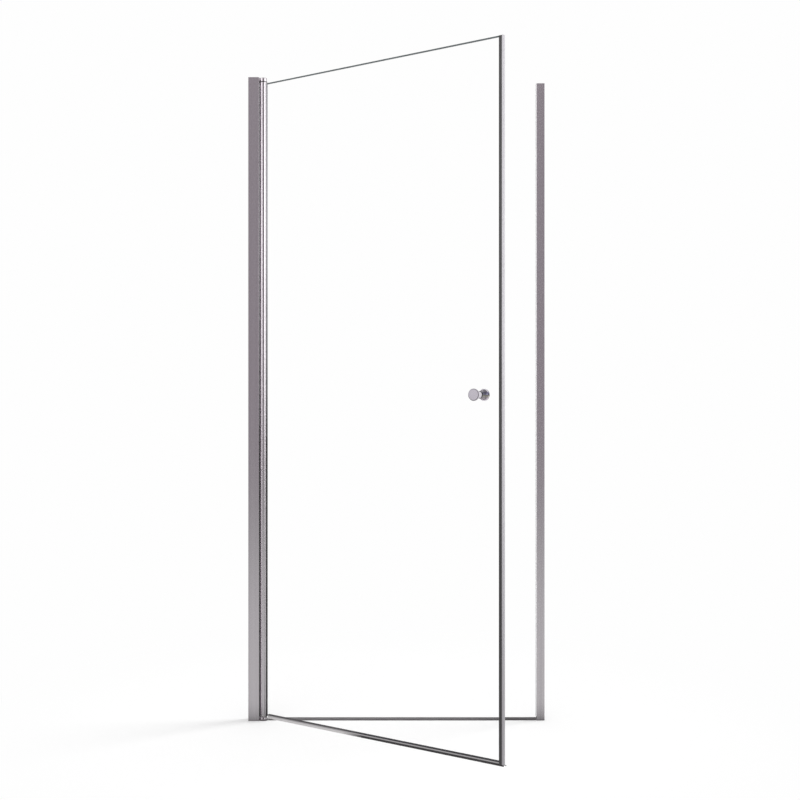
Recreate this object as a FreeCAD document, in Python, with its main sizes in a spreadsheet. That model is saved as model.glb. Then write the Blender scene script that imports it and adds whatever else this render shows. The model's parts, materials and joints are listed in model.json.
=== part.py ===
import FreeCAD, Part
import math
import os
import re
import Sketcher

# A pivot shower door for a niche: a fixed frame screwed between two walls and a glass leaf on two pins.
# Millimetres. X runs along the niche, Y goes into the shower, Z is up. The origin lies on the tray, in the
# middle of the niche, in the plane of the pivots. The leaf is drawn closed, from the pivot axis (u along X,
# v along Y), and its placement turns it to the opening it is stored at.

doc = FreeCAD.newDocument("PivotShowerDoor")
sheet = doc.addObject("Spreadsheet::Sheet", "Sizes")

sizes = {
    # whole door
    "niche_width": 898.0,
    "overall_height": 1950.0,
    "rest_opening": 33.5,
    "seat_gap": 0.1,              # between pieces that are slid or pushed together
    # hinge side post and its wall channel
    "post_width": 32.6,
    "post_depth": 28.0,
    "post_wall": 1.6,
    "post_corner": 0.6,
    "channel_wall": 1.6,
    "channel_reach": 21.0,
    "channel_play": 0.2,
    "channel_drop": 6.0,          # wall channels end this far below their posts
    # closing side post
    "closing_width": 24.0,
    "closing_depth": 16.0,
    "closing_drop": 17.0,         # the closing post is this much lower
    "closing_reach": 15.0,
    "groove_width": 10.8,
    "groove_depth": 4.0,
    # wall holes and cross screws
    "wall_hole": 5.5,
    "wall_hole_inset": 200.0,
    "screw_inset": 120.0,
    "screw_shank": 4.0,
    "screw_head": 7.6,
    "screw_head_height": 2.2,
    "screw_length": 9.0,
    "screw_play": 0.1,
    "cover_diameter": 12.0,
    "cover_height": 3.4,
    "cover_wall": 0.9,
    "cap_thickness": 3.5,
    "cap_leg": 8.0,
    # soft strip on the hinge post, beside the leaf's tube
    "wiper_base": 0.5,
    "wiper_bead": 1.6,
    "wiper_bead_width": 2.4,
    "wiper_inset": 11.0,          # from the post's front
    "wiper_width": 10.0,
    # pivots
    "post_gap": 1.9,              # from the hinge post's inner face to the leaf's tube
    "head_lap": 0.3,              # the head stands this far out over the tube
    "head_height": 12.5,
    "foot_radius": 15.0,
    "foot_neck": 10.3,
    "foot_height": 12.5,
    "foot_edge": 1.5,
    "neck_width": 14.0,
    "block_height": 25.0,
    "block_length": 9.2,
    "pin_diameter": 6.0,
    "pin_reach": 20.0,
    "pin_seat": 9.0,
    "pin_fit": 0.02,
    "running_fit": 0.05,
    "washer_radius": 8.0,
    "washer_height": 1.0,
    "running_gap": 0.3,
    "bush_radius": 5.95,
    "bush_length": 24.0,
    "flange_radius": 8.5,
    "flange_height": 1.0,
    # hinge profile and glass
    "tube_radius": 10.0,
    "nose_reach": 13.6,
    "nose_width": 12.0,
    "nose_corner": 1.5,
    "floor_wall": 1.4,            # between the tube's bore and the glass channel
    "gasket_wall": 1.15,
    "gasket_floor": 0.5,
    "gasket_lip": 4.4,
    "gasket_flare": 0.5,
    "glass_thickness": 6.0,
    "glass_play": 0.05,
    "glass_arris": 0.5,
    "glass_drop": 17.5,           # glass top below the hinge post's top
    # free edge seal and the strike strip it closes on
    "seal_gap": 0.5,
    "magnet_reach": 4.6,
    "magnet_width": 9.8,
    "clip_reach": 9.4,
    "clip_wall": 1.5,
    "clip_grip": 3.5,
    "rail_neck": 1.6,
    "rail_head": 2.8,
    "rail_depth": 3.2,
    "strike_proud": 2.4,
    "strike_wall": 1.0,
    "magnet_inset": 2.0,          # the strike magnet ends this far inside its strip
    # bottom seal
    "edge_seal_drop": 2.4,        # the free edge seal ends this far below the glass
    "seal_grip": 5.8,
    "seal_web": 1.6,
    "lip_clearance": 2.6,         # over the threshold strip
    "lip_wall": 1.2,
    "fin_reach": 9.4,
    "fin_clearance": 1.4,         # from the fin's tip to the closing post
    "seal_start": 20.0,
    "seal_leg_wall": 1.3,
    # knob
    "knob_inset": 65.3,           # from the glass's free edge
    "knob_height": 986.0,
    "knob_radius": 16.2,
    "knob_neck": 10.4,
    "knob_neck_length": 6.0,
    "knob_length": 27.0,
    "knob_rim": 3.6,
    "knob_washer_height": 1.0,
    "knob_hole": 12.0,
    "stud_diameter": 6.0,
    "stud_seat": 14.0,
    # threshold strip
    "sill_front": 6.0,
    "sill_back": 10.0,
    "sill_edge": 3.5,
    "sill_crest": 5.2,
    "sill_heel": 0.8,
    "sill_plug": 1.5,
    "tape_thickness": 0.6,
    "tape_margin": 2.0,
}
for row, (word, number) in enumerate(sizes.items(), 1):
    sheet.set(f"A{row}", word)
    sheet.set(f"B{row}", str(number))
    sheet.setAlias(f"B{row}", word)
doc.recompute()

# Places worked out from the sizes, as formulas.
half_niche = "niche_width / 2"
post_face = "(post_width - niche_width / 2)"
pivot_x = "(post_width + post_gap + tube_radius - niche_width / 2)"
closing_face = "(niche_width / 2 - closing_width)"
leaf_room = "(niche_width - post_width - post_gap - tube_radius - closing_width)"
seal_end = f"({leaf_room} - strike_proud - seal_gap)"
glass_end = f"({seal_end} - magnet_reach - clip_reach + clip_grip)"
closing_height = "(overall_height - closing_drop)"
glass_top = "(overall_height - glass_drop)"
bore_radius = "(bush_radius + seat_gap / 2)"
channel_floor = f"({bore_radius} + floor_wall)"
channel_half = "(glass_thickness / 2 + glass_play + gasket_wall + seat_gap)"
gasket_half = "(glass_thickness / 2 + glass_play + gasket_wall)"
glass_half = "(glass_thickness / 2 + glass_play)"
glass_start = f"({channel_floor} + seat_gap + gasket_floor + seat_gap)"
profile_bottom = "(foot_height + washer_height + seat_gap + flange_height)"
profile_top = "(overall_height - head_height - running_gap - flange_height)"
edge_seal_bottom = f"({profile_bottom} - edge_seal_drop)"
lip_height = "(sill_crest + lip_clearance)"
knob_u = f"({glass_end} - knob_inset)"
screw_step = "((overall_height - 2 * screw_inset) / 2)"
closing_screw_step = f"(({closing_height} - 2 * screw_inset) / 2)"
wall_step = "((overall_height - 2 * wall_hole_inset) / 2)"


def formula(text):
    return re.sub(r"\b([a-z]+(?:_[a-z]+)+)\b", r"Sizes.\1", str(text))


def measure(text):
    result = sheet.evalExpression(formula(text).replace("Sizes.", ""))
    return float(getattr(result, "Value", result))


def new_body(label):
    body = doc.addObject("PartDesign::Body", label)
    body.Label = label
    return body


def new_sketch(body, role, shift=("0", "0", "0")):
    plane = [item for item in body.Origin.OriginFeatures if item.Role == role][0]
    sketch = body.newObject("Sketcher::SketchObject", body.Label + "_sketch")
    sketch.AttachmentSupport = [(plane, "")]
    sketch.MapMode = "FlatFace"
    for axis, place in zip("xyz", shift):
        sketch.setExpression("AttachmentOffset.Base." + axis, formula(place))
    return sketch


def pin_point(sketch, edge, end, x, y):
    for kind, place in (("DistanceX", x), ("DistanceY", y)):
        number = sketch.addConstraint(Sketcher.Constraint(kind, -1, 1, edge, end, measure(place)))
        sketch.setExpression(f"Constraints[{number}]", formula(place))


def draw_outline(sketch, corners):
    # A closed outline of straight lines through the corners.
    points = [FreeCAD.Vector(measure(x), measure(y), 0) for x, y in corners]
    edges = [sketch.addGeometry(Part.LineSegment(start, stop), False)
             for start, stop in zip(points, points[1:] + points[:1])]
    for index, edge in enumerate(edges):
        following = edges[(index + 1) % len(edges)]
        sketch.addConstraint(Sketcher.Constraint("Coincident", edge, 2, following, 1))
        pin_point(sketch, edge, 1, corners[index][0], corners[index][1])


def hollow_curve(low_radius, low, high_radius, high, steps):
    # Corners of a hollow flare that leaves one radius along the axis and opens out to another.
    bends = [(1 - math.cos(math.pi / 2 * step / steps), math.sin(math.pi / 2 * step / steps))
             for step in range(steps + 1)]
    return [(f"{low_radius} + ({high_radius} - {low_radius}) * {out:.6f}",
             f"{low} + ({high} - {low}) * {along:.6f}") for out, along in bends]


def draw_circle(sketch, x, y, radius):
    centre = FreeCAD.Vector(measure(x), measure(y), 0)
    edge = sketch.addGeometry(Part.Circle(centre, FreeCAD.Vector(0, 0, 1), measure(radius)), False)
    number = sketch.addConstraint(Sketcher.Constraint("Radius", edge, measure(radius)))
    sketch.setExpression(f"Constraints[{number}]", formula(radius))
    pin_point(sketch, edge, 3, x, y)


def draw_box(sketch, x_low, x_high, y_low, y_high):
    draw_outline(sketch, [(x_low, y_low), (x_high, y_low), (x_high, y_high), (x_low, y_high)])


def draw_polygon(sketch, x, y, radius, sides):
    # A regular polygon with its corners on a circle.
    turns = [2 * math.pi * (index + 0.5) / sides for index in range(sides)]
    draw_outline(sketch, [(f"{x} + ({radius}) * {math.cos(turn):.6f}", f"{y} + ({radius}) * {math.sin(turn):.6f}")
                          for turn in turns])


def pad(body, sketch, length):
    feature = body.newObject("PartDesign::Pad", body.Label + "_pad")
    feature.Profile = sketch
    feature.setExpression("Length", formula(length))
    doc.recompute()
    return feature


def cut(body, sketch, length, reversed_side=False):
    before = body.Shape.Volume
    feature = body.newObject("PartDesign::Pocket", body.Label + "_cut")
    feature.Profile = sketch
    feature.setExpression("Length", formula(length))
    feature.Reversed = reversed_side
    doc.recompute()
    if body.Shape.Volume > before - 1e-6:
        raise ValueError(body.Label + ": a cut misses the solid")
    return feature


def turn(body, sketch):
    feature = body.newObject("PartDesign::Revolution", body.Label + "_turn")
    feature.Profile = sketch
    feature.ReferenceAxis = (sketch, ["V_Axis"])
    feature.Angle = 360
    doc.recompute()
    return feature


def bore(body, sketch):
    before = body.Shape.Volume
    feature = body.newObject("PartDesign::Groove", body.Label + "_bore")
    feature.Profile = sketch
    feature.ReferenceAxis = (sketch, ["V_Axis"])
    feature.Angle = 360
    doc.recompute()
    if body.Shape.Volume > before - 1e-6:
        raise ValueError(body.Label + ": a bore misses the solid")
    return feature


def repeat(body, features, role, length, count):
    # Copies of some features in a row along an axis of the body.
    pattern = body.newObject("PartDesign::LinearPattern", body.Label + "_row")
    pattern.Originals = features
    axis = [item for item in body.Origin.OriginFeatures if item.Role == role][0]
    pattern.Direction = (axis, [""])
    pattern.setExpression("Length", formula(length))
    pattern.Occurrences = count
    body.Tip = pattern
    doc.recompute()
    return pattern


def round_uprights(body, places, radius):
    # Rounds the vertical edges at the given plan positions.
    wanted = [(measure(x), measure(y)) for x, y in places]
    names = []
    for index, edge in enumerate(body.Shape.Edges, 1):
        low, high = edge.Vertexes[0].Point, edge.Vertexes[-1].Point
        upright = abs(low.x - high.x) < 1e-6 and abs(low.y - high.y) < 1e-6
        if upright and any(math.hypot(low.x - x, low.y - y) < 1e-3 for x, y in wanted):
            names.append(f"Edge{index}")
    carrier = body.Tip
    feature = body.newObject("PartDesign::Fillet", body.Label + "_corners")
    feature.Base = (carrier, names)
    feature.setExpression("Radius", formula(radius))
    doc.recompute()
    return feature


def hang_on_leaf(body):
    upright = FreeCAD.Vector(0, 0, 1)
    body.Placement = FreeCAD.Placement(FreeCAD.Vector(0, 0, 0), FreeCAD.Rotation(upright, -1))
    body.setExpression("Placement.Base.x", formula(pivot_x))
    body.setExpression("Placement.Rotation.Angle", formula("-rest_opening"))


# ---- fixed frame: posts and wall channels ----

def make_wall_channel(label, side, depth, wall_in, reach, height, step):
    # A U channel with its web on the wall. side is -1 at the hinge wall and 1 at the closing wall.
    body = new_body(label)
    half = f"({depth} / 2 - {wall_in} - channel_play)"
    wall = f"({side} * {half_niche})"
    web = f"({wall} - {side} * channel_wall)"
    tip = f"({wall} - {side} * {reach})"
    inner = f"({half} - channel_wall)"
    sketch = new_sketch(body, "XY_Plane")
    draw_outline(sketch, [(wall, f"-{half}"), (tip, f"-{half}"), (tip, f"-{inner}"), (web, f"-{inner}"),
                          (web, inner), (tip, inner), (tip, half), (wall, half)])
    pad(body, sketch, f"{height} - channel_drop")
    holes = new_sketch(body, "YZ_Plane", ("0", "0", wall))
    for index in range(3):
        draw_circle(holes, "0", f"wall_hole_inset + {index} * {step}", "wall_hole / 2")
    cut(body, holes, "channel_wall", side < 0)
    return body


def cross_holes(body, x, first, step, depth_face, wall, count=3):
    # Screw holes through the shower side wall of a post or channel flange.
    sketch = new_sketch(body, "XZ_Plane", ("0", "0", f"-{depth_face}"))
    for index in range(count):
        draw_polygon(sketch, x, f"{first} + {index} * {step}", "screw_shank / 2 + screw_play", 8)
    cut(body, sketch, wall, True)


def make_cross_screws(label, x, face, first, step, count):
    # Pan head screws, one above the other, driven in from the shower side. Head and shank have flats.
    body = new_body(label)
    head = new_sketch(body, "XZ_Plane", ("0", "0", f"-({face} + screw_head_height)"))
    draw_polygon(head, x, first, "screw_head / 2", 10)
    heads = pad(body, head, "screw_head_height")
    shank = new_sketch(body, "XZ_Plane", ("0", "0", f"-({face})"))
    draw_polygon(shank, x, first, "screw_shank / 2", 8)
    shanks = pad(body, shank, "screw_length")
    repeat(body, [heads, shanks], "Z_Axis", f"{step} * {count - 1}", count)
    return body


def make_covers(label, x, face, first, step):
    # Snap-on caps over the screw heads, with a faceted skirt.
    body = new_body(label)
    skirt = new_sketch(body, "XZ_Plane", ("0", "0", f"-({face} + cover_height)"))
    draw_polygon(skirt, x, first, "cover_diameter / 2", 16)
    skirts = pad(body, skirt, "cover_height")
    inside = new_sketch(body, "XZ_Plane", ("0", "0", f"-({face})"))
    draw_polygon(inside, x, first, "cover_diameter / 2 - cover_wall", 16)
    hollows = cut(body, inside, "cover_height - cover_wall")
    repeat(body, [skirts, hollows], "Z_Axis", f"{step} * 2", 3)
    return body


def make_hinge_post():
    body = new_body("hinge_post")
    half = "(post_depth / 2)"
    inner = "(post_depth / 2 - post_wall)"
    wall = f"(-{half_niche})"
    web = f"({post_face} - post_wall)"
    sketch = new_sketch(body, "XY_Plane")
    draw_outline(sketch, [(wall, f"-{half}"), (post_face, f"-{half}"), (post_face, half), (wall, half),
                          (wall, inner), (web, inner), (web, f"-{inner}"), (wall, f"-{inner}")])
    pad(body, sketch, "overall_height")
    notch = "(neck_width / 2 + seat_gap)"
    low = new_sketch(body, "XY_Plane")
    draw_box(low, f"{web} - 1", f"{post_face} + 1", f"-{notch}", notch)
    cut(body, low, "foot_height + seat_gap", True)
    high = new_sketch(body, "XY_Plane", ("0", "0", "overall_height - head_height - seat_gap"))
    draw_box(high, f"{web} - 1", f"{post_face} + 1", f"-{notch}", notch)
    cut(body, high, "head_height + 1", True)
    cross_holes(body, screw_x, "screw_inset", screw_step, half, "post_wall")
    cross_holes(body, block_x, block_screw_low, block_screw_step, half, "post_wall", 2)
    round_uprights(body, [(post_face, f"-{half}"), (post_face, half)], "post_corner")
    return body


def make_post_wiper():
    # A soft strip on the post's inner face between the brackets, with a bead at its back edge.
    body = new_body("hinge_post_wiper")
    front = "(wiper_inset - post_depth / 2)"
    bead_face = f"({post_face} + wiper_bead)"
    base_face = f"({post_face} + wiper_base)"
    back = f"({front} + wiper_width)"
    bead_start = f"({back} - wiper_bead_width)"
    low = "(foot_height + seat_gap)"
    sketch = new_sketch(body, "XY_Plane", ("0", "0", low))
    draw_outline(sketch, [(post_face, front), (base_face, front), (base_face, bead_start),
                          (bead_face, f"{bead_start} + 0.6"), (bead_face, f"{back} - 0.6"),
                          (f"{bead_face} - 0.5", back), (post_face, back)])
    pad(body, sketch, f"overall_height - head_height - seat_gap - {low}")


def make_closing_post():
    # The inner face has a groove for the strike strip.
    body = new_body("closing_post")
    half = "(closing_depth / 2)"
    inner = "(closing_depth / 2 - post_wall)"
    groove = "(groove_width / 2)"
    floor = f"({closing_face} + groove_depth)"
    wall = f"({half_niche})"
    web = f"({floor} + post_wall)"
    sketch = new_sketch(body, "XY_Plane")
    draw_outline(sketch, [(wall, f"-{half}"), (wall, f"-{inner}"), (web, f"-{inner}"), (web, inner),
                          (wall, inner), (wall, half), (closing_face, half), (closing_face, groove),
                          (floor, groove), (floor, f"-{groove}"), (closing_face, f"-{groove}"),
                          (closing_face, f"-{half}")])
    pad(body, sketch, closing_height)
    cross_holes(body, closing_screw_x, "screw_inset", closing_screw_step, half, "post_wall")
    round_uprights(body, [(closing_face, f"-{half}"), (closing_face, half)], "post_corner")
    return body


def make_post_cap(label, side, x_low, x_high, half, top, leg_half):
    # A plate flush with the post's top, with a leg that grips in the wall channel.
    body = new_body(label)
    plate = new_sketch(body, "XY_Plane", ("0", "0", f"{top} - cap_thickness"))
    draw_box(plate, x_low, x_high, f"-{half}", half)
    pad(body, plate, "cap_thickness")
    leg_back = f"({side} * ({half_niche} - channel_wall - seat_gap))"
    leg_front = f"({leg_back} - {side} * 2.4)"
    leg = new_sketch(body, "XY_Plane", ("0", "0", f"{top} - cap_thickness - cap_leg"))
    draw_box(leg, leg_back, leg_front, f"-{leg_half}", leg_half)
    pad(body, leg, "cap_leg")
    return body


screw_x = f"(-{half_niche} + channel_reach / 2)"
closing_screw_x = f"({half_niche} - closing_reach / 2)"
block_right = f"({post_face} - post_wall - seat_gap)"
block_left = f"({block_right} - block_length)"
block_x = f"({block_right} - block_length / 2)"
block_top = "(overall_height - cap_thickness - seat_gap)"
block_screw_low = "(block_height * 0.68)"
block_screw_high = f"({block_top} - block_height * 0.68)"
block_screw_step = f"({block_screw_high} - {block_screw_low})"
post_inside = "(post_depth / 2 - post_wall)"

hinge_channel = make_wall_channel("hinge_wall_channel", -1, "post_depth", "post_wall", "channel_reach",
                                  "overall_height", wall_step)
cross_holes(hinge_channel, screw_x, "screw_inset", screw_step,
            "(post_depth / 2 - post_wall - channel_play)", "channel_wall")
make_hinge_post()
make_post_cap("hinge_post_cap", -1, f"-{half_niche} + seat_gap", f"{block_right} - seat_gap",
              f"({post_inside} - seat_gap)", "overall_height",
              "(post_depth / 2 - post_wall - channel_wall - 1)")
make_cross_screws("hinge_fixing_screws", screw_x, "post_depth / 2", "screw_inset", screw_step, 3)
make_post_wiper()
make_covers("hinge_screw_covers", screw_x, "post_depth / 2", "screw_inset", screw_step)
make_cross_screws("bracket_screws", block_x, "post_depth / 2", block_screw_low, block_screw_step, 2)

closing_channel = make_wall_channel("closing_wall_channel", 1, "closing_depth", "post_wall",
                                    "closing_reach", closing_height, wall_step)
cross_holes(closing_channel, closing_screw_x, "screw_inset", closing_screw_step,
            "(closing_depth / 2 - post_wall - channel_play)", "channel_wall")
make_closing_post()
make_post_cap("closing_post_cap", 1, f"{closing_face} + groove_depth + post_wall + seat_gap",
              f"{half_niche} - seat_gap", "(closing_depth / 2 - post_wall - seat_gap)", closing_height,
              "(closing_depth / 2 - post_wall - channel_wall - 1)")
make_cross_screws("closing_fixing_screws", closing_screw_x, "closing_depth / 2", "screw_inset",
                  closing_screw_step, 3)
make_covers("closing_screw_covers", closing_screw_x, "closing_depth / 2", "screw_inset", closing_screw_step)


# ---- fixed frame: pivots ----

def make_pivot_block(body, low):
    # The block inside the post that the bracket screw bites into.
    sketch = new_sketch(body, "XY_Plane", ("0", "0", low))
    side = f"({post_inside} - seat_gap)"
    draw_box(sketch, block_left, block_right, f"-{side}", side)
    pad(body, sketch, "block_height")


def make_neck(body, low, height):
    sketch = new_sketch(body, "XY_Plane", ("0", "0", low))
    draw_box(sketch, block_right, f"{pivot_x} - pin_diameter", "-neck_width / 2", "neck_width / 2")
    pad(body, sketch, height)


def screw_seat(body, height):
    # Hole in the block for its cross screw.
    sketch = new_sketch(body, "XZ_Plane", ("0", "0", f"-({post_inside} - seat_gap)"))
    draw_polygon(sketch, block_x, height, "screw_shank / 2 + screw_play", 8)
    cut(body, sketch, "screw_length", True)


def make_top_bracket():
    body = new_body("top_pivot_bracket")
    low = "(overall_height - head_height)"
    head = new_sketch(body, "XY_Plane", ("0", "0", low))
    draw_circle(head, pivot_x, "0", "tube_radius + head_lap")
    pad(body, head, "head_height")
    make_neck(body, low, "head_height")
    make_pivot_block(body, f"{block_top} - block_height")
    seat = new_sketch(body, "XZ_Plane", (pivot_x, low, "0"))
    draw_box(seat, "0", "pin_diameter / 2 + pin_fit", "0", "pin_seat")
    bore(body, seat)
    screw_seat(body, block_screw_high)
    return body


def make_bottom_bracket():
    # A foot that flares to the floor in a hollow curve, cut off flat against the post.
    body = new_body("bottom_pivot_bracket")
    foot = new_sketch(body, "XZ_Plane", (pivot_x, "0", "0"))
    hollow = hollow_curve("foot_neck", "foot_height", "foot_radius", "foot_edge", 2)
    draw_outline(foot, [("0", "0"), ("foot_radius", "0")] + hollow[::-1] + [("0", "foot_height")])
    turn(body, foot)
    trim = new_sketch(body, "XY_Plane")
    draw_box(trim, f"{pivot_x} - foot_radius - 1", post_face, "-foot_radius - 1", "foot_radius + 1")
    cut(body, trim, "foot_height", True)
    make_neck(body, "0", "foot_height")
    make_pivot_block(body, "0")
    seat = new_sketch(body, "XZ_Plane", (pivot_x, "foot_height", "0"))
    draw_box(seat, "0", "pin_diameter / 2 + pin_fit", "-pin_seat", "0")
    bore(body, seat)
    screw_seat(body, block_screw_low)
    return body


def make_pin(label, low, high):
    # A plain steel dowel pin.
    body = new_body(label)
    sketch = new_sketch(body, "XY_Plane", ("0", "0", low))
    draw_circle(sketch, pivot_x, "0", "pin_diameter / 2")
    pad(body, sketch, f"{high} - {low}")
    return body


def make_thrust_washer():
    body = new_body("thrust_washer")
    sketch = new_sketch(body, "XY_Plane", ("0", "0", "foot_height"))
    draw_polygon(sketch, pivot_x, "0", "washer_radius", 24)
    draw_polygon(sketch, pivot_x, "0", "pin_diameter / 2 + 3 * running_fit", 24)
    pad(body, sketch, "washer_height")
    return body


head_low = "(overall_height - head_height)"
make_top_bracket()
make_bottom_bracket()
make_pin("top_pivot_pin", f"({head_low} - pin_reach)", f"({head_low} + pin_seat)")
make_pin("bottom_pivot_pin", "(foot_height - pin_seat)", "(foot_height + pin_reach)")
make_thrust_washer()


# ---- fixed frame: strike strip and threshold ----

def make_strike():
    # A soft strip pushed into the closing post's groove, with a magnet inside it.
    body = new_body("strike_seal")
    outer = "(groove_width / 2 - seat_gap)"
    front = f"({closing_face} - strike_proud)"
    back = f"({closing_face} + groove_depth - seat_gap)"
    sketch = new_sketch(body, "XY_Plane", ("0", "0", edge_seal_bottom))
    draw_box(sketch, front, back, f"-{outer}", outer)
    pocket_half = f"({outer} - strike_wall)"
    draw_box(sketch, f"{front} + strike_wall", f"{back} - strike_wall", f"-{pocket_half}", pocket_half)
    pad(body, sketch, f"{closing_height} - {edge_seal_bottom}")
    magnet = new_body("strike_magnet")
    sketch = new_sketch(magnet, "XY_Plane", ("0", "0", f"{edge_seal_bottom} + magnet_inset"))
    half = f"({pocket_half} - seat_gap)"
    draw_box(sketch, f"{front} + strike_wall + seat_gap", f"{back} - strike_wall - seat_gap",
             f"-{half}", half)
    pad(magnet, sketch, f"{closing_height} - {edge_seal_bottom} - 2 * magnet_inset")


def sill_outline(sketch, recess):
    # Low at the front, a soft crest towards the shower and a thin heel. The recess holds the tape.
    corners = [("-sill_front", "0"), ("-sill_front", "sill_edge - 0.8"),
               ("-sill_front + 0.8", "sill_edge"), ("sill_back - 4.5", "sill_crest"),
               ("sill_back - 3", "sill_crest"), ("sill_back", "sill_heel"), ("sill_back", "0")]
    if recess:
        corners += [("sill_back - tape_margin", "0"), ("sill_back - tape_margin", "tape_thickness"),
                    ("-sill_front + tape_margin", "tape_thickness"), ("-sill_front + tape_margin", "0")]
    draw_outline(sketch, corners)


def make_sill():
    left = f"({pivot_x} + foot_radius + seat_gap)"
    right = f"({closing_face} - seat_gap)"
    body = new_body("sill")
    sketch = new_sketch(body, "YZ_Plane", ("0", "0", f"{left} + sill_plug"))
    sill_outline(sketch, True)
    pad(body, sketch, f"{right} - {left} - 2 * sill_plug")
    tape = new_body("sill_tape")
    sketch = new_sketch(tape, "YZ_Plane", ("0", "0", f"{left} + sill_plug"))
    draw_box(sketch, "-sill_front + tape_margin + seat_gap", "sill_back - tape_margin - seat_gap", "0",
             "tape_thickness")
    pad(tape, sketch, f"{right} - {left} - 2 * sill_plug")
    plugs = new_body("sill_end_plugs")
    for low in (left, f"({right} - sill_plug)"):
        sketch = new_sketch(plugs, "YZ_Plane", ("0", "0", low))
        sill_outline(sketch, False)
        pad(plugs, sketch, "sill_plug")


make_strike()
make_sill()


# ---- leaf: hinge profile, gasket, bushes and glass ----

def make_hinge_profile():
    # A round extrusion with a nose that opens into the glass channel.
    body = new_body("door_hinge_profile")
    length = f"{profile_top} - {profile_bottom}"
    tube = new_sketch(body, "XY_Plane", ("0", "0", profile_bottom))
    draw_circle(tube, "0", "0", "tube_radius")
    pad(body, tube, length)
    nose = new_sketch(body, "XY_Plane", ("0", "0", profile_bottom))
    draw_box(nose, "tube_radius / 2", "nose_reach", "-nose_width / 2", "nose_width / 2")
    pad(body, nose, length)
    inside = new_sketch(body, "XY_Plane", ("0", "0", profile_bottom))
    draw_circle(inside, "0", "0", bore_radius)
    draw_box(inside, channel_floor, "nose_reach + 1", f"-{channel_half}", channel_half)
    cut(body, inside, length, True)
    round_uprights(body, [("nose_reach", "-nose_width / 2"), ("nose_reach", "nose_width / 2")],
                   "nose_corner")
    hang_on_leaf(body)


def make_gasket():
    # A U strip round the glass edge. Its front leg ends in a soft lip outside the nose.
    body = new_body("glazing_gasket")
    start = f"({channel_floor} + seat_gap)"
    floor = f"({start} + gasket_floor)"
    tip = "(nose_reach + gasket_lip)"
    lip = f"({gasket_half} + gasket_flare)"
    mouth = "(nose_reach + seat_gap)"
    sketch = new_sketch(body, "XY_Plane", ("0", "0", profile_bottom))
    draw_outline(sketch, [(start, f"-{gasket_half}"), (mouth, f"-{gasket_half}"), (mouth, f"-{lip}"),
                          (tip, f"-{glass_half} - 0.3"), (tip, f"-{glass_half}"),
                          (floor, f"-{glass_half}"), (floor, glass_half), ("nose_reach", glass_half),
                          ("nose_reach", gasket_half), (start, gasket_half)])
    pad(body, sketch, f"{glass_top} - {profile_bottom}")
    hang_on_leaf(body)


def make_bush(label, face, direction):
    # A flanged plastic plug in the end of the tube; the pin turns in it.
    body = new_body(label)
    sketch = new_sketch(body, "XZ_Plane", ("0", face, "0"))
    hole = "(pin_diameter / 2 + running_fit)"
    draw_outline(sketch, [(hole, f"{direction} * bush_length"), (hole, f"{-direction} * flange_height"),
                          ("flange_radius", f"{-direction} * flange_height"), ("flange_radius", "0"),
                          ("bush_radius", "0"), ("bush_radius", f"{direction} * bush_length")])
    turn(body, sketch)
    hang_on_leaf(body)


def make_glass():
    body = new_body("door_glass")
    half = "(glass_thickness / 2)"
    flat = "(glass_thickness / 2 - glass_arris)"
    sketch = new_sketch(body, "XY_Plane", ("0", "0", profile_bottom))
    draw_outline(sketch, [(glass_start, f"-{flat}"), (f"{glass_start} + glass_arris", f"-{half}"),
                          (f"{glass_end} - glass_arris", f"-{half}"), (glass_end, f"-{flat}"),
                          (glass_end, flat), (f"{glass_end} - glass_arris", half),
                          (f"{glass_start} + glass_arris", half), (glass_start, flat)])
    pad(body, sketch, f"{glass_top} - {profile_bottom}")
    hole = new_sketch(body, "XZ_Plane", ("0", "0", f"-{half}"))
    draw_circle(hole, knob_u, "knob_height", "knob_hole / 2")
    cut(body, hole, "glass_thickness", True)
    hang_on_leaf(body)


# ---- leaf: seals ----

def make_free_edge_seal():
    # The clip grips the glass, and the magnet bar slides into its undercut rail.
    body = new_body("free_edge_clip")
    end = f"({seal_end} - magnet_reach)"
    grip = f"({glass_end} - clip_grip)"
    web = f"({glass_end} + seat_gap)"
    outer = f"({glass_half} + clip_wall)"
    neck = "(rail_neck / 2 + seat_gap)"
    head = "(rail_head / 2 + seat_gap)"
    turn_in = f"({end} - rail_depth / 2 + seat_gap)"
    floor = f"({end} - rail_depth - seat_gap)"
    sketch = new_sketch(body, "XY_Plane", ("0", "0", edge_seal_bottom))
    draw_outline(sketch, [(grip, f"-{outer} + 0.6"), (f"{grip} + 1.2", f"-{outer}"), (end, f"-{outer}"),
                          (end, f"-{neck}"), (turn_in, f"-{neck}"), (turn_in, f"-{head}"),
                          (floor, f"-{head}"), (floor, head), (turn_in, head), (turn_in, neck),
                          (end, neck), (end, outer), (f"{grip} + 1.2", outer), (grip, f"{outer} - 0.6"),
                          (grip, glass_half), (web, glass_half), (web, f"-{glass_half}"),
                          (grip, f"-{glass_half}")])
    pad(body, sketch, f"{glass_top} - {edge_seal_bottom}")
    hang_on_leaf(body)
    magnet = new_body("free_edge_magnet")
    half = "(magnet_width / 2)"
    sketch = new_sketch(magnet, "XY_Plane", ("0", "0", edge_seal_bottom))
    face = f"({end} + seat_gap)"
    middle = f"({end} - rail_depth / 2)"
    back = f"({end} - rail_depth)"
    draw_outline(sketch, [(face, f"-{half}"), (f"{seal_end} - 1", f"-{half}"), (seal_end, f"-{half} + 1"),
                          (seal_end, f"{half} - 1"), (f"{seal_end} - 1", half), (face, half),
                          (face, "rail_neck / 2"), (middle, "rail_neck / 2"), (middle, "rail_head / 2"),
                          (back, "rail_head / 2"), (back, "-rail_head / 2"), (middle, "-rail_head / 2"),
                          (middle, "-rail_neck / 2"), (face, "-rail_neck / 2")])
    pad(magnet, sketch, f"{glass_top} - {edge_seal_bottom}")
    hang_on_leaf(magnet)


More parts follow.
